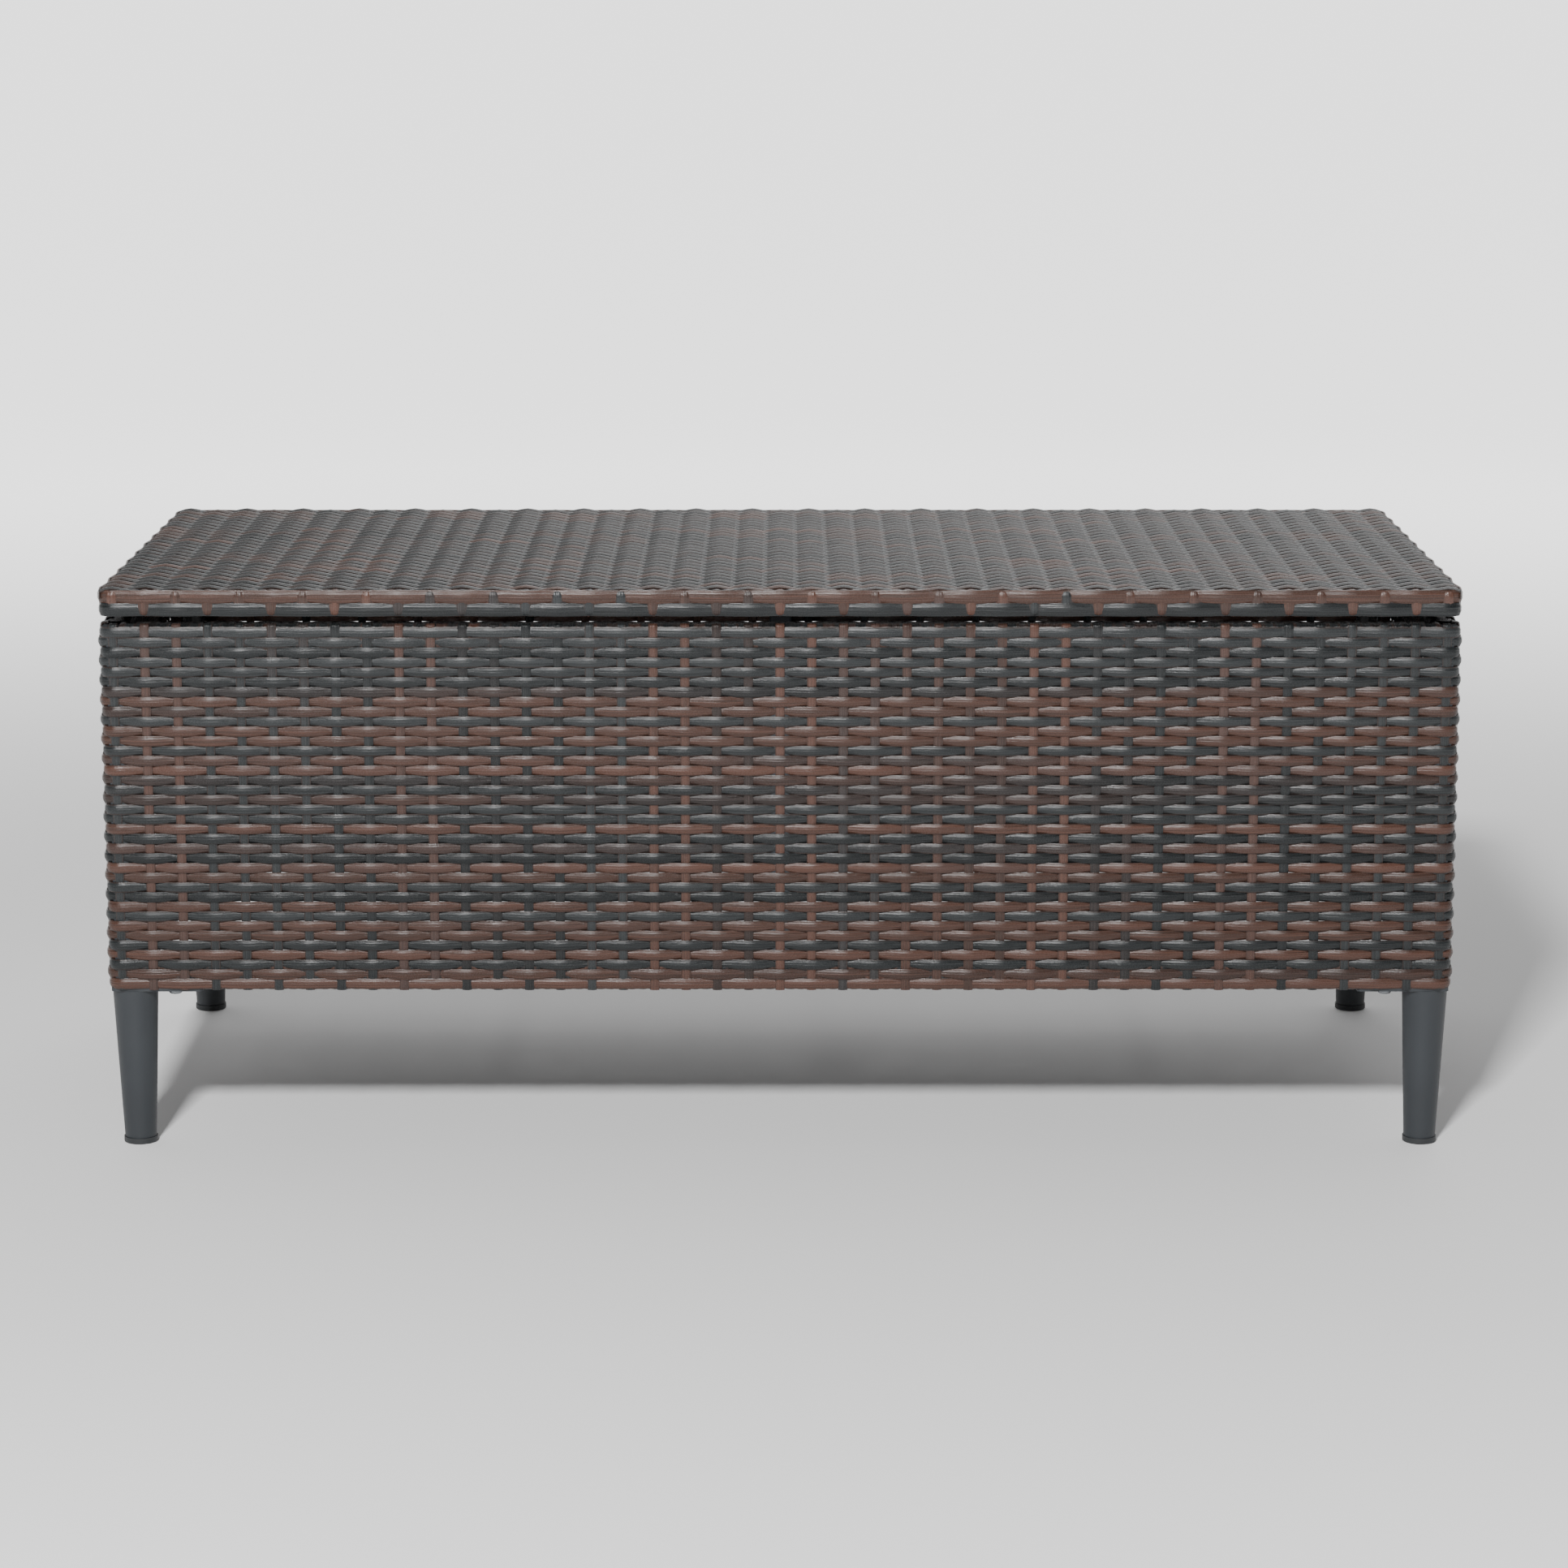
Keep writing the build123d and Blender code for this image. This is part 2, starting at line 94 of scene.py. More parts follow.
# Strand wound round the rails
wrap_pitch = 0.00865
wrap_fill = 0.97            # width of a turn in its pitch
wrap_t = 0.0008
wrap_corner = 0.0035
wrap_deeper = 0.0018        # how much deeper than its rail a turn is
wrap_higher = 0.0020
wrap_swell = 0.0008         # how much deeper again a turn is along its middle
wrap_stop = 0.026           # how much shorter than its rail a lengthways wrap is
wrap_inset = 0.0012         # wraps sit this far inwards of their rails


# Modelling tools

def deselect():
    """Leaves edit mode with nothing selected."""
    if bpy.context.object and bpy.context.object.mode == "EDIT":
        bpy.ops.object.mode_set(mode="OBJECT")
    bpy.ops.object.select_all(action="DESELECT")


def activate(piece):
    """Selects one piece and makes it the active one."""
    deselect()
    piece.select_set(True)
    bpy.context.view_layer.objects.active = piece


def edit_all(piece):
    """Opens a piece in edit mode with all of it selected."""
    activate(piece)
    bpy.ops.object.mode_set(mode="EDIT")
    bpy.ops.mesh.select_all(action="SELECT")


def settle(piece):
    """Moves a piece's place, turn and scale into its mesh."""
    activate(piece)
    bpy.ops.object.transform_apply(location=True, rotation=True, scale=True)


def pick(piece, test):
    """In edit mode, selects the vertices whose place passes a test."""
    mesh = bmesh.from_edit_mesh(piece.data)
    mesh.select_mode = {"VERT"}
    for vertex in mesh.verts:
        vertex.select = bool(test(vertex.co))
    mesh.select_flush_mode()
    bmesh.update_edit_mesh(piece.data)


def finish_modifier(piece, modifier):
    """Applies a modifier."""
    activate(piece)
    bpy.ops.object.modifier_apply(modifier=modifier.name)


def twin(piece, name):
    """Copy of a piece with its own mesh."""
    copy = piece.copy()
    copy.data = piece.data.copy()
    copy.name = name
    bpy.context.collection.objects.link(copy)
    return copy


def drop(*pieces):
    """Removes patterns and guides that have done their work."""
    for piece in pieces:
        bpy.data.objects.remove(piece)


def repeat(piece, offset, count, joined=False, texture=(0, 0)):
    """Copies a piece along an offset; joined copies are welded end to end."""
    array = piece.modifiers.new("repeat", "ARRAY")
    array.use_relative_offset = False
    array.use_constant_offset = True
    array.constant_offset_displace = offset
    array.count = count
    array.use_merge_vertices = joined
    array.merge_threshold = weld
    array.offset_u, array.offset_v = texture
    finish_modifier(piece, array)


def lengthen(piece, offset, count):
    """Joins waves end to end, with a length of texture for each."""
    repeat(piece, offset, count, joined=True, texture=(1, 0))


def spread(piece, offset, count):
    """Copies strands side by side, with a strip of texture for each."""
    repeat(piece, offset, count, texture=(0, 1))


def cut(piece, place, normal):
    """Cuts off what lies on the normal's side of a plane."""
    edit_all(piece)
    bpy.ops.mesh.bisect(plane_co=place, plane_no=normal, clear_outer=True)
    bpy.ops.object.mode_set(mode="OBJECT")


def bend(piece, path):
    """Bends a piece that lies along X so that it follows a path."""
    curve = piece.modifiers.new("bend", "CURVE")
    curve.object = path
    curve.deform_axis = "POS_X"
    finish_modifier(piece, curve)


def thicken(piece, thickness):
    """Welds a surface and gives it a thickness, half to each side, with smooth shading."""
    edit_all(piece)
    bpy.ops.mesh.remove_doubles(threshold=weld)
    bpy.ops.object.mode_set(mode="OBJECT")
    solid = piece.modifiers.new("thickness", "SOLIDIFY")
    solid.thickness = thickness
    solid.offset = 0.0
    finish_modifier(piece, solid)
    bpy.ops.object.shade_smooth_by_angle(angle=crease)


# Paths

def guide(name, points, closed):
    """Path of straight runs through points, for strands to follow, and its length."""
    curve = bpy.data.curves.new(name, "CURVE")
    curve.dimensions = "2D"
    spline = curve.splines.new("POLY")
    spline.points.add(len(points) - 1)
    for point, (x, y) in zip(spline.points, points):
        point.co = (x, y, 0.0, 1.0)
    spline.use_cyclic_u = closed
    path = bpy.data.objects.new(name, curve)
    bpy.context.collection.objects.link(path)
    return path, spline.calc_length()


def rounded_corner(corner, radius, turn):
    """Points round one corner of a clockwise path; turn is its first direction, in quarter turns."""
    start = turn * math.pi / 2
    ahead = (math.cos(start), math.sin(start))
    aside = (ahead[1], -ahead[0])
    centre = [corner[axis] - radius * ahead[axis] + radius * aside[axis] for axis in (0, 1)]
    points = []
    for step in range(corner_steps + 1):
        angle = start + math.pi / 2 - step * math.pi / 2 / corner_steps
        points.append((centre[0] + radius * math.cos(angle), centre[1] + radius * math.sin(angle)))
    first = [points[0][axis] - corner_lead * ahead[axis] for axis in (0, 1)]
    last = [points[-1][axis] + corner_lead * aside[axis] for axis in (0, 1)]
    return [first, *points, last]


def ring_path(name, reach_x, reach_y, radius):
    """Clockwise loop round the table, from the middle of the back."""
    points = [(0.0, reach_y)]
    for (side_x, side_y), turn in (((1, 1), 0), ((1, -1), -1), ((-1, -1), -2), ((-1, 1), -3)):
        points += rounded_corner((side_x * reach_x, side_y * reach_y), radius, turn)
    return guide(name, points, True)


def arch_path(name, reach):
    """Path up one side of the lid, over it and down the other side, tucked in under the edges."""
    top = lid_high + skin
    low = lid_low - strand_t / 2
    points = [(-reach + tuck, low)]
    for corner, turn in (((-reach, low), 2), ((-reach, top), 1), ((reach, top), 0), ((reach, low), -1)):
        points += rounded_corner(corner, fold_r, turn)
    points.append((reach - tuck, low))
    return guide(name, points, False)


def fold_way(half):
    """Way along an arch from the middle of the lid to the end of the fold over its edge."""
    return half + skin - fold_r + fold_r * math.pi / 2


# Strands

def strand(name, half, width, swing, pinch, rings):
    """One wave of a flat strand along X, its crest in the middle and its dips at both ends.

    Its face is towards +Y, and pinch is the share of its width that it loses at the dips.
    """
    deselect()
    face_on = (-math.pi / 2, 0, 0)
    bpy.ops.mesh.primitive_grid_add(x_subdivisions=rings, y_subdivisions=3, size=1, rotation=face_on)
    wave = bpy.context.object
    wave.name = name
    wave.scale = (2 * half, width, 1)
    settle(wave)
    for loop in wave.data.uv_layers.active.data:
        loop.uv.y = texture_margin + (1 - 2 * texture_margin) * loop.uv.y
    bpy.ops.object.mode_set(mode="EDIT")
    pick(wave, lambda at: abs(at.z) > width / 3)
    bpy.ops.transform.translate(value=(0, -crown, 0))
    step = 2 * half / rings
    for ring in range(rings + 1):
        place = -half + ring * step
        share = abs(place) / half
        rise = swing * (0.5 * math.cos(math.pi * share) + 0.5 * (1 - 2 * share))
        pick(wave, lambda at: abs(at.x - place) < step / 3)
        bpy.ops.transform.translate(value=(0, rise, 0))
        narrow = 1 - pinch * share ** 4
        bpy.ops.transform.resize(value=(1, 1, narrow), center_override=(place, 0, 0))
    bpy.ops.object.mode_set(mode="OBJECT")
    return wave


def wind(pattern, name, path, pitch, start, height, gap=0.0, count=1):
    """Strands wound round the table, from a start in stake pitches, in a count of rows a gap apart."""
    piece = twin(pattern, name)
    piece.location = (start * pitch, 0, height)
    settle(piece)
    lengthen(piece, (2 * pitch, 0, 0), stakes // 2)
    if count > 1:
        spread(piece, (0, 0, gap), count)
    bend(piece, path)
    thicken(piece, strand_t)
    return piece


def lay(pattern, name, middle, wave, first, gap, start, reach=None):
    """Straight strands side by side, before they are bent over the lid.

    Along each one the waves are joined by twos from first to -first about the middle, and cut at
    a reach to each side of it. Across, the strands lie by twos from start to -start.
    """
    piece = twin(pattern, name)
    piece.location = (middle + first * wave, 0, start * gap)
    settle(piece)
    lengthen(piece, (2 * wave, 0, 0), 1 - first)
    if reach:
        cut(piece, (middle - reach, 0, 0), (-1, 0, 0))
        cut(piece, (middle + reach, 0, 0), (1, 0, 0))
    spread(piece, (0, 0, 2 * gap), 1 - start)
    return piece


def fold_over(piece, path, turn):
    """Bends strands over the lid, lays them level and turns them about Z."""
    bend(piece, path)
    piece.rotation_euler = (math.pi / 2, 0, turn)
    settle(piece)
    thicken(piece, strand_t)


def hand_over(piece, body, material, *replaced):
    """Gives a finished woven piece its body, finish and material slot."""
    piece.data.materials.clear()
    piece.data.materials.append(material)
    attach(piece, body)
    if replaced:
        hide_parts(*replaced)


# Finishes

class Value:
    """A socket in a material; Python's operators on it add Math nodes."""

    def __init__(self, owner, socket):
        self.owner = owner
        self.socket = socket

    def math(self, operation, other=0.0):
        return self.owner.math(operation, self, other)

    def __add__(self, other):
        return self.math("ADD", other)

    def __sub__(self, other):
        return self.math("SUBTRACT", other)

    def __rsub__(self, other):
        return self.owner.math("SUBTRACT", other, self)

    def __mul__(self, other):
        return self.math("MULTIPLY", other)

    def __truediv__(self, other):
        return self.math("DIVIDE", other)

    def __rtruediv__(self, other):
        return self.owner.math("DIVIDE", other, self)

    __radd__ = __add__
    __rmul__ = __mul__


class Nodes:
    """The nodes of a finish or of the studio's air, with one way to add a node."""

    def __init__(self, tree, shader):
        self.tree = tree
        self.shader = tree.nodes[shader]

    def node(self, kind, settings=None, sockets=None, output=0):
        made = self.tree.nodes.new(kind)
        for setting, value in (settings or {}).items():
            setattr(made, setting, value)
        for socket, value in (sockets or {}).items():
            if isinstance(value, Value):
                self.tree.links.new(value.socket, made.inputs[socket])
            else:
                made.inputs[socket].default_value = value
        return Value(self, made.outputs[output])

    def feed(self, socket, value):
        self.tree.links.new(value.socket, self.shader.inputs[socket])

    def math(self, operation, first, second):
        return self.node("ShaderNodeMath", {"operation": operation}, {0: first, 1: second})

    def place(self, kind):
        return self.node("ShaderNodeTexCoord", output=kind)

    def part(self, vector, axis):
        return self.node("ShaderNodeSeparateXYZ", None, {0: vector}, axis)

    def join(self, x, y, z=0.0):
        return self.node("ShaderNodeCombineXYZ", None, {0: x, 1: y, 2: z})

    def ramp(self, value, low, high, least=0.0, most=1.0):
        """Smooth rise from least to most while a value goes from low to high."""
        sockets = {0: value, 1: low, 2: high, 3: least, 4: most}
        return self.node("ShaderNodeMapRange", {"interpolation_type": "SMOOTHSTEP"}, sockets)


class Finish(Nodes):
    """A material with its fixed values by name, and the textures and mixes that the finishes share."""

    def __init__(self, name, **fixed):
        self.material = bpy.data.materials.new(name)
        self.material.use_nodes = True
        super().__init__(self.material.node_tree, "Principled BSDF")
        for socket, value in fixed.items():
            self.shader.inputs[socket.replace("_", " ")].default_value = value

    def noise(self, place, scale, detail=2.0, rough=0.5):
        sockets = {"Vector": place, "Scale": scale, "Detail": detail, "Roughness": rough}
        return self.node("ShaderNodeTexNoise", None, sockets)

    def chance(self, seed):
        """Random value from 0 to 1, the same for the same seed."""
        return self.node("ShaderNodeTexWhiteNoise", {"noise_dimensions": "1D"}, {"W": seed})

    def blend(self, share, first, second):
        return self.node("ShaderNodeMix", {"data_type": "RGBA"}, {0: share, 6: first, 7: second}, 2)

    def bump(self, height, distance):
        return self.node("ShaderNodeBump", None, {"Height": height, "Distance": distance, "Strength": 1.0})


charcoal = (0.0100, 0.0114, 0.0119, 1)
slate = (0.027, 0.0300, 0.0313, 1)
umber = (0.037, 0.0212, 0.0163, 1)
russet = (0.084, 0.041, 0.030, 1)

strand_gloss = 0.30         # specular level of every strand
streaks = (14.0, 16.0)      # streaks of tone: per metre along a strand, and across it
grain = (1500.0, 13.0)      # fine grain, in the same way
ribs_across = 4             # moulded ribs across a strand
relief = 0.00028            # depth of ribs, streaks and grain together
colour_blur = 0.20          # how gently brown gives way to charcoal
colour_change = 2.3         # how fast the colour drifts along a strand, per metre
lid_change = 16.0           # the lid's wefts change colour more often
lid_steady = 0.35


def strand_finish(finish, along, across, index, brown, change=colour_change, steady=1.0):
    """Extruded flat strand: each one its own mix of charcoal and brown, with fine lines along it.

    along is in metres, across runs from 0 to 1, and index tells the strands apart. brown is the
    share of brown strands, and steady is 1 where a strand mostly keeps its own colour.
    """
    own = finish.chance(index * 1.37)
    other = finish.chance(index * 3.11 + 7.0)
    drift = finish.noise(finish.join(along * change, index * 5.7), 1.0, 1.0)
    tone = (own - 0.5) * steady + (drift - 0.5) * (2.4 - 1.7 * steady) + 0.5
    is_brown = finish.ramp(tone, 1 - brown - colour_blur, 1 - brown + colour_blur)
    streak_place = finish.join(along * streaks[0], across * streaks[1], index * 9.1)
    lines = finish.noise(streak_place, 1.0, 2.0, 0.6)
    grain_place = finish.join(along * grain[0], across * grain[1], index * 4.3)
    fine = finish.noise(grain_place, 1.0, 2.0, 0.7)
    dark = finish.blend(finish.ramp(lines + other * 0.35, 0.45, 0.95), charcoal, slate)
    warm = finish.blend(finish.ramp(lines + other * 0.3, 0.40, 0.90), umber, russet)
    base_colour = finish.blend(is_brown, dark, warm)
    edge = finish.ramp((across - 0.5).math("ABSOLUTE"), 0.30, 0.46) * finish.ramp(other, 0.25, 0.6)
    finish.feed("Base Color", finish.blend(edge * 0.65, base_colour, umber))
    finish.feed("Roughness", 0.13 + fine * 0.22 + lines * 0.06)
    ribs = (across * (2 * math.pi * ribs_across)).math("SINE") * 0.5
    finish.feed("Normal", finish.bump(lines * 0.8 + ribs * 0.30 + fine * 0.45, relief))
    return finish.material


def woven_finish(name, seed, brown, wave, **habits):
    """Strand finish for strands whose texture counts waves of a given length along, and strands across."""
    finish = Finish(name, Specular_IOR_Level=strand_gloss)
    texture = finish.place("UV")
    along = finish.part(texture, 0) * wave
    strip = finish.part(texture, 1)
    index = strip.math("FLOOR") + seed
    return strand_finish(finish, along, strip.math("FRACT"), index, brown, **habits)


def wrap_finish(name, seed, axis, brown):
    """Strand finish for the turns of strand round a tube that runs along an axis."""
    finish = Finish(name, Specular_IOR_Level=strand_gloss)
    place = finish.place("Object")
    turns = finish.part(place, axis) / wrap_pitch
    along = finish.part(place, 2) + finish.part(place, 1 - axis)
    index = turns.math("FLOOR") + seed
    return strand_finish(finish, along, turns.math("FRACT"), index, brown)


def paint_finish(name, colour, roughness, depth=0.00006, metallic=0.0):
    """Powder coat, plastic or plated metal: a fine even grain and a little unevenness of tone."""
    finish = Finish(name, Metallic=metallic)
    place = finish.place("Object")
    cloud = finish.noise(place, 9.0, 3.0)
    speck = finish.noise(place, 2600.0, 1.0)
    lighter = tuple(min(1.0, part * 1.35 + 0.004) for part in colour[:3]) + (1.0,)
    light = finish.ramp(cloud * 0.6 + speck * 0.4, 0.3, 0.75)
    finish.feed("Base Color", finish.blend(light, colour, lighter))
    finish.feed("Roughness", cloud * 0.12 + roughness - 0.06)
    finish.feed("Normal", finish.bump(speck, depth))
    return finish.material


# Woven box

panels = ("panel_front", "panel_back", "panel_left", "panel_right")


def box_wefts(path, pitch, row):
    """Rows of weft between the two edge rows, every second one a stake further round."""
    pattern = strand("weft_wave", pitch, row * weft_fill, weft_swing, pinch=0.16, rings=weft_rings)
    for name, first, brown in (("even", 2, 0.36), ("odd", 1, 0.46)):
        height = base + (first + 0.5) * row
        count = len(range(first, rows - 1, 2))
        piece = wind(pattern, f"box_weft_{name}", path, pitch, 1 + first % 2, height, 2 * row, count)
        hand_over(piece, "box", woven_finish(piece.name, first * 31.7, brown, 2 * pitch), *panels)
    drop(pattern)


def box_edges(path, pitch, row):
    """Tight lowest and highest rows of the box."""
    pattern = strand("box_edge_wave", pitch, row * edge_fill, edge_swing, pinch=0.08, rings=weft_rings)
    for name, level, brown in (("low", 0, 0.95), ("high", rows - 1, 0.15)):
        piece = wind(pattern, f"box_edge_{name}", path, pitch, 1, base + (level + 0.5) * row)
        hand_over(piece, "box", woven_finish(piece.name, level + 6.0, brown, 2 * pitch), *panels)
    drop(pattern)


def fold_stake(piece):
    """Folds the top of a stake inwards over the rim."""
    bpy.ops.object.mode_set(mode="EDIT")
    pick(piece, lambda at: at.z > rim - weld)
    for inward, up in stake_tops:
        bpy.ops.mesh.extrude_region_move(TRANSFORM_OT_translate={"value": (0, -inward, up)})


def box_stakes(path, pitch, row):
    """Upright stakes round the box, every second one a row further up in its wave."""
    pattern = strand("stake_wave", row, stake_w, stake_swing, pinch=0.0, rings=stake_rings)
    pattern.rotation_euler = (0, -math.pi / 2, 0)
    settle(pattern)
    for name, start in (("even", 0), ("odd", 1)):
        piece = twin(pattern, f"box_stake_{name}")
        piece.location = (start * pitch, 0, base + (start - 2 + 0.5) * row)
        settle(piece)
        lengthen(piece, (0, 0, 2 * row), rows // 2 + 2)
        cut(piece, (0, 0, base - strand_t), (0, 0, -1))
        cut(piece, (0, 0, rim), (0, 0, 1))
        fold_stake(piece)
        spread(piece, (2 * pitch, 0, 0), stakes // 2)
        bend(piece, path)
        thicken(piece, strand_t)
        hand_over(piece, "box", woven_finish(piece.name, 11.3 + start, 0.35, 2 * row), *panels)
    drop(pattern)


# Woven lid

def lid_wefts(path, way, pitch, row):
    """Wefts along the lid, folded down over its ends."""
    pattern = strand("lid_weft_wave", pitch, row, lid_swing, pinch=0.16, rings=weft_rings)
    reach = fold_way(half_x) + weft_tail
    for name, odd, brown in (("even", 0, 0.34), ("odd", 1, 0.30)):
        first = -lid_stakes - odd
        start = 1 + odd - lid_rows
        piece = lay(pattern, f"lid_weft_{name}", way / 2, pitch, first, row, start, reach)
        fold_over(piece, path, 0)
        seed = 6.0 - first
        finish = woven_finish(piece.name, seed, brown, 2 * pitch, change=lid_change, steady=lid_steady)
        hand_over(piece, "lid", finish, "lid_weave")
    drop(pattern)


def lid_cross_stakes(pattern, path, way, pitch, row):
    """Stakes across the lid, folded down over its front and back."""
    for name, odd in (("even", 0), ("odd", 1)):
        first = odd - lid_rows - 3
        start = 1 - odd - lid_stakes
        piece = lay(pattern, f"lid_stake_{name}", way / 2, row, first, pitch, start, way / 2 - trim)
        fold_over(piece, path, math.pi / 2)
        hand_over(piece, "lid", woven_finish(piece.name, 4.0 - first, 0.6, 2 * row), "lid_weave")


def lid_end_stakes(pattern, path, way, pitch, row):
    """Short stakes down both ends of the lid."""
    fold = way / 2 + fold_way(half_x)
    for name, first in (("odd", -2), ("even", -1)):
        stem = f"lid_side_stake_{name}"
        right = lay(pattern, f"{stem}_right", fold, row, first, pitch, -end_stakes - 1 - first)
        fold_over(right, path, 0)
        left = twin(right, f"{stem}_left")
        left.rotation_euler = (0, 0, math.pi)
        settle(left)
        for side, piece in enumerate((right, left)):
            finish = woven_finish(piece.name, 18.0 - first + 5 * side, 0.5, 2 * row)
            hand_over(piece, "lid", finish, "lid_weave")


def lid_edges(path, pitch):
    """Two rows of weft round the lid's edge, the upper one brown and the lower one charcoal."""
    pad = skin / 2
    row = (lid_high - lid_low + 2 * skin) / 2
    pattern = strand("edge_wave", pitch, row * lid_edge_fill, edge_swing, pinch=0.06, rings=weft_rings)
    for name, below, brown in (("upper", 0, 0.95), ("lower", 1, 0.04)):
        height = lid_high + skin + pad - (below + 0.5) * row
        piece = wind(pattern, f"lid_edge_{name}", path, pitch, 2 - below, height)
        hand_over(piece, "lid", woven_finish(piece.name, 2.0 + below, brown, 2 * pitch), "lid_weave")
    drop(pattern)


def weave():
    """All that is woven: the box and then the lid."""
    round_path, around = ring_path("round_path", half_x + skin, half_y + skin, bend_r)
    pitch = around / stakes
    row = (rim - base) / rows
    box_wefts(round_path, pitch, row)
    box_edges(round_path, pitch, row)
    box_stakes(round_path, pitch, row)
    length_path, length_way = arch_path("length_path", half_x + skin)
    depth_path, depth_way = arch_path("depth_path", half_y + skin)
    lid_row = fold_way(half_y) / lid_rows
    lid_wefts(length_path, length_way, pitch, lid_row)
    stake = strand("lid_stake_wave", lid_row, lid_stake_w, stake_swing, pinch=0.0, rings=stake_rings)
    lid_cross_stakes(stake, depth_path, depth_way, pitch, lid_row)
    lid_end_stakes(stake, length_path, length_way, pitch, lid_row)
    lid_edges(round_path, pitch)
    drop(stake, round_path, length_path, depth_path)


# Wound rails and the finishes of the frame

def wrap_ring(name, deep, high):
    """One turn of strand round a square tube that runs along X."""
    deselect()
    bpy.ops.mesh.primitive_plane_add(size=1, rotation=(0, math.pi / 2, 0))
    ring = bpy.context.object
    ring.name = name
    ring.scale = (high, deep, 1)
    settle(ring)
    edit_all(ring)
    bpy.ops.mesh.bevel(offset=wrap_corner, segments=2, affect="VERTICES")
    bpy.ops.mesh.delete(type="ONLY_FACE")
    bpy.ops.mesh.select_all(action="SELECT")
    width = wrap_pitch * wrap_fill
    bpy.ops.transform.translate(value=(-width / 2, 0, 0))
    for _ in range(3):
        bpy.ops.mesh.extrude_region_move(TRANSFORM_OT_translate={"value": (width / 3, 0, 0)})
    pick(ring, lambda at: abs(at.x) < width / 3)
    swell = 1 + wrap_swell / deep
    bpy.ops.transform.resize(value=(1, swell, swell), center_override=(0, 0, 0))
    bpy.ops.mesh.select_all(action="SELECT")
    bpy.ops.mesh.normals_make_consistent(inside=False)
    bpy.ops.object.mode_set(mode="OBJECT")
    return ring


def wrap_rail(ring, rail, lengthways):
    """Turns of strand from end to end of one rail, which runs along the table or across it."""
    low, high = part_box(rail)
    middle = (low + high) / 2
    reach = high.x - low.x - wrap_stop if lengthways else high.y - low.y
    count = int(reach / wrap_pitch)
    piece = twin(ring, f"{rail}_wrap")
    piece.location = (-(count - 1) * wrap_pitch / 2, 0, 0)
    settle(piece)
    repeat(piece, (wrap_pitch, 0, 0), count)
    thicken(piece, wrap_t)
    if lengthways:
        middle.y -= math.copysign(wrap_inset, middle.y)
    else:
        middle.x -= math.copysign(wrap_inset, middle.x)
        piece.rotation_euler = (0, 0, math.pi / 2)
    piece.location = middle
    settle(piece)
    return piece


def tube_wraps():
    """Strand wound round the rims of the box and of the lid."""
    wraps = (("rail_bottom", "box", 0.5), ("rail_top", "box", 0.12), ("lid_rail", "lid", 0.5))
    for stem, body, brown in wraps:
        finishes = [wrap_finish(f"{stem}_wrap_{axis}", 4.0 + axis, axis, brown) for axis in (0, 1)]
        low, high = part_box(f"{stem}_front")
        ring = wrap_ring(f"{stem}_ring", high.y - low.y + wrap_deeper, high.z - low.z + wrap_higher)
        for axis, ends in enumerate((("front", "back"), ("left", "right"))):
            for end in ends:
                hand_over(wrap_rail(ring, f"{stem}_{end}", axis == 0), body, finishes[axis])
        drop(ring)


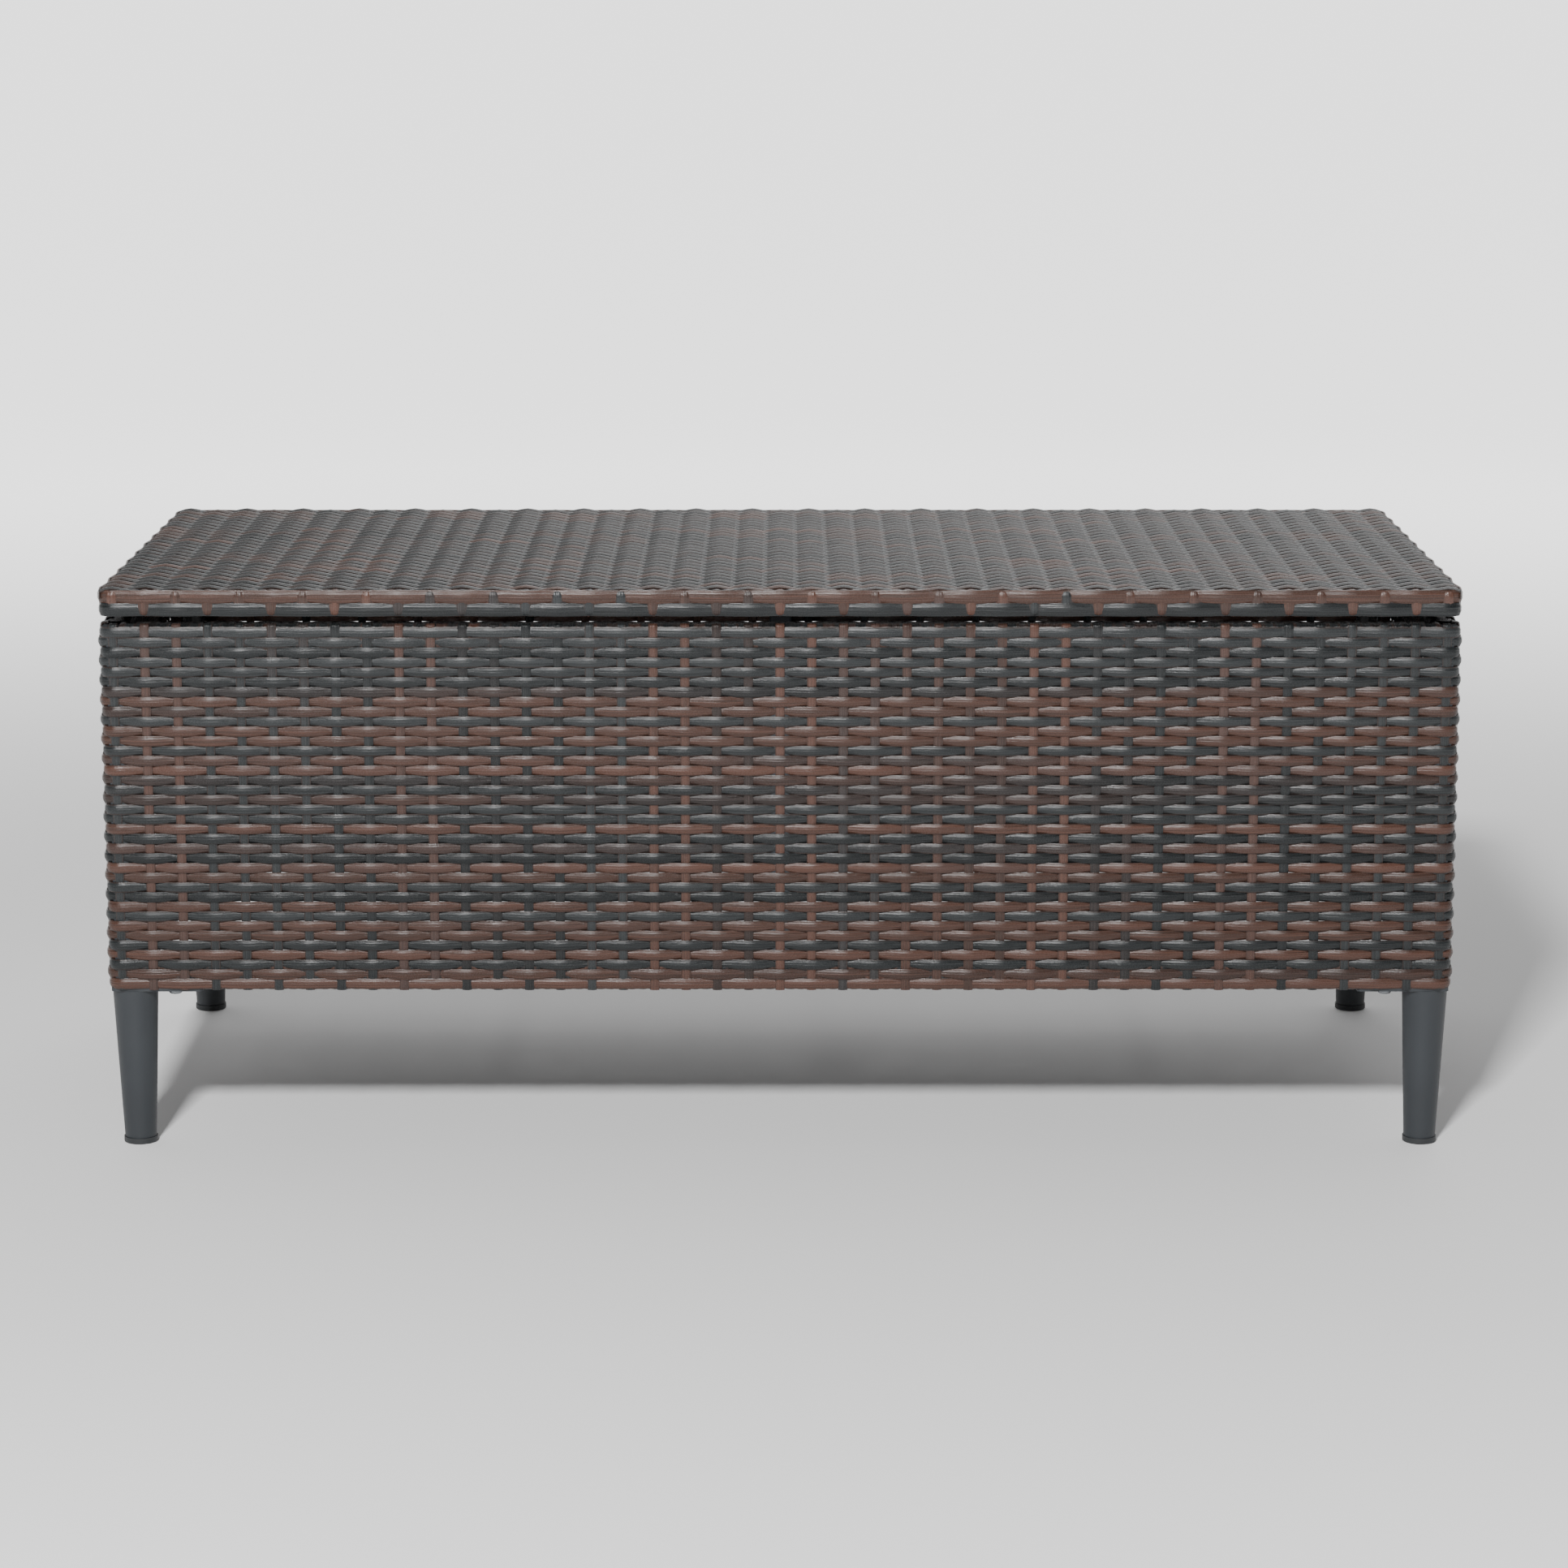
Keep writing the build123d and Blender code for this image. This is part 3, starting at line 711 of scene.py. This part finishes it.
def frame_finishes():
    """A finish for each kind of CAD node that stays in view."""
    finishes = {
        "frame_paint": paint_finish("powder_coat", (0.021, 0.0245, 0.0285, 1), 0.50),
        "floor_wire": paint_finish("wire_coat", (0.030, 0.034, 0.037, 1), 0.42),
        "foot_plastic": paint_finish("foot_plastic", (0.020, 0.022, 0.024, 1), 0.50),
        "bolt_steel": paint_finish("bolt_plating", (0.20, 0.21, 0.22, 1), 0.34, metallic=1.0),
        "hinge_steel": paint_finish("hinge_plating", (0.34, 0.35, 0.36, 1), 0.36, metallic=1.0),
        "strut_cylinder": paint_finish("cylinder_enamel", (0.008, 0.008, 0.009, 1), 0.22, depth=0.00001),
        "strut_rod": paint_finish("rod_chrome", (0.62, 0.63, 0.65, 1), 0.12, depth=0.000005, metallic=1.0),
        "bumper_rubber": paint_finish("bumper_rubber", (0.014, 0.014, 0.015, 1), 0.62),
    }
    for entry in frame["record"]["subparts"]:
        finish = finishes.get(entry["material_slot"])
        if finish:
            mesh = nodes[entry["node"]].data
            mesh.materials.clear()
            mesh.materials.append(finish)


# Studio

def grey(level):
    """Opaque neutral colour."""
    return (level, level, level, 1)


def studio_floor():
    """Pale floor that glows more with distance, like a lit backdrop."""
    deselect()
    bpy.ops.mesh.primitive_plane_add(size=160, location=(0, 0, 0))
    floor = bpy.context.object
    floor.name = "studio_floor"
    finish = Finish("pale_floor", Roughness=0.9, Base_Color=grey(0.93), Emission_Strength=1.0)
    away = finish.node("ShaderNodeVectorMath", {"operation": "LENGTH"}, {0: finish.place("Object")}, 1)
    near, far = 0.8, 4.5
    finish.feed("Emission Color", finish.blend(finish.ramp(away, near, far), grey(0.06), grey(1.9)))
    floor.data.materials.append(finish.material)


def studio_air():
    """Soft light from all round, weak in front of the table and stronger behind it."""
    world = bpy.data.worlds.new("studio_air")
    world.use_nodes = True
    air = Nodes(world.node_tree, "Background")
    backwards = air.part(air.place("Generated"), 1)
    air.feed("Strength", air.ramp(backwards, -0.35, 0.75, least=0.04, most=0.66))
    air.shader.inputs["Color"].default_value = grey(1)
    bpy.context.scene.world = world


def studio_lamps():
    """Small strong lamp above the front and a wide weak one behind, both aimed at the middle of the box."""
    lamps = (("key_left", (-0.8, -4.2, 3.0), 0.5, 330.0), ("soft_back", (0.6, 3.4, 2.6), 2.6, 30.0))
    for name, place, size, power in lamps:
        bpy.ops.object.light_add(type="AREA", location=place)
        light = bpy.context.object
        light.name = name
        light.data.size = size
        light.data.energy = power
        aim = math.atan2(math.hypot(place[0], place[1]), place[2] - rim / 2)
        light.rotation_euler = (aim, 0, math.atan2(place[0], -place[1]))


def front_camera():
    """Camera in front of the table, looking a little down at it."""
    look_down = 11.0
    turn = (math.radians(90 - look_down), 0, 0)
    bpy.ops.object.camera_add(location=(0.0032, -3.777, 0.990), rotation=turn)
    camera = bpy.context.object
    camera.name = "front_camera"
    camera.data.lens = 102.0
    camera.data.clip_end = 60.0
    bpy.context.scene.camera = camera


weave()
tube_wraps()
frame_finishes()
studio_floor()
studio_air()
studio_lamps()
front_camera()
